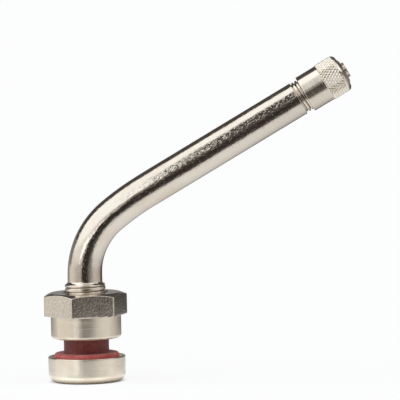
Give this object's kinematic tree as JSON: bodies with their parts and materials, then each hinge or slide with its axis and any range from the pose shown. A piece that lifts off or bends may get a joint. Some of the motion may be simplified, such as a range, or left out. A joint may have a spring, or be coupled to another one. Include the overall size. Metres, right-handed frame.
{
  "type": "tyre valve",
  "caption": "Clamp-in tyre valve with a bent tube stem, round foot, red rubber grommet, clamp collar and hex nut, a sprung valve core inside and a knurled screw cap.",
  "frame": {"origin": "on the foot's axis, in the plane where the rim's inner face seats on the grommet's flange", "axes": "+Z along the foot, the nut and the rim hole, out of the tyre; +X the way the bent arm leans"},
  "size_m": [0.0717, 0.0188, 0.0735],
  "materials": {
    "nickel_brass": "nickel-plated, bright on the tube, satin turned on the foot and collar",
    "red_rubber": "matte moulded",
    "black_rubber": "matte moulded",
    "core_brass": "turned, bare",
    "core_steel": "drawn wire"
  },
  "bodies": {
    "stem": {"valve_stem": "nickel_brass", "rim_grommet": "red_rubber", "core_plug": "core_brass", "core_barrel": "core_brass", "barrel_seal": "black_rubber", "core_spring": "core_steel"},
    "collar": {"clamp_collar": "nickel_brass"},
    "nut": {"hex_nut": "nickel_brass"},
    "cap_seal": {"cap_insert": "nickel_brass", "cap_gasket": "black_rubber"},
    "cap": {"cap_shell": "nickel_brass"},
    "pin": {"core_pin": "core_steel", "seat_cup": "core_brass", "seat_seal": "black_rubber"}
  },
  "joints": [
    {"name": "nut_travel", "type": "slide", "parent": "stem", "child": "collar", "axis": [0, 0, 1], "range_m": [0, 0.007]},
    {"name": "nut_turn", "type": "hinge", "parent": "collar", "child": "nut", "pos_m": [0, 0, 0.0086], "axis": [0, 0, 1], "range_deg": [0, 2520]},
    {"name": "cap_travel", "type": "slide", "parent": "stem", "child": "cap_seal", "axis": [0.866, 0, 0.5], "range_m": [0, 0.00715]},
    {"name": "cap_turn", "type": "hinge", "parent": "cap_seal", "child": "cap", "pos_m": [0.05808, 0, 0.06214], "axis": [0.866, 0, 0.5], "range_deg": [0, 3240]},
    {"name": "core_pin_press", "type": "slide", "parent": "stem", "child": "pin", "axis": [-0.866, 0, -0.5], "range_m": [0, 0.0015], "stiffness_N_per_m": 500, "springref_m": -0.002, "deforming": ["core_spring"]}
  ],
  "couplings": [
    {"joint": "nut_turn", "follows": "nut_travel", "rad_per_m": 6283.2},
    {"joint": "cap_turn", "follows": "cap_travel", "rad_per_m": 7913.3}
  ]
}
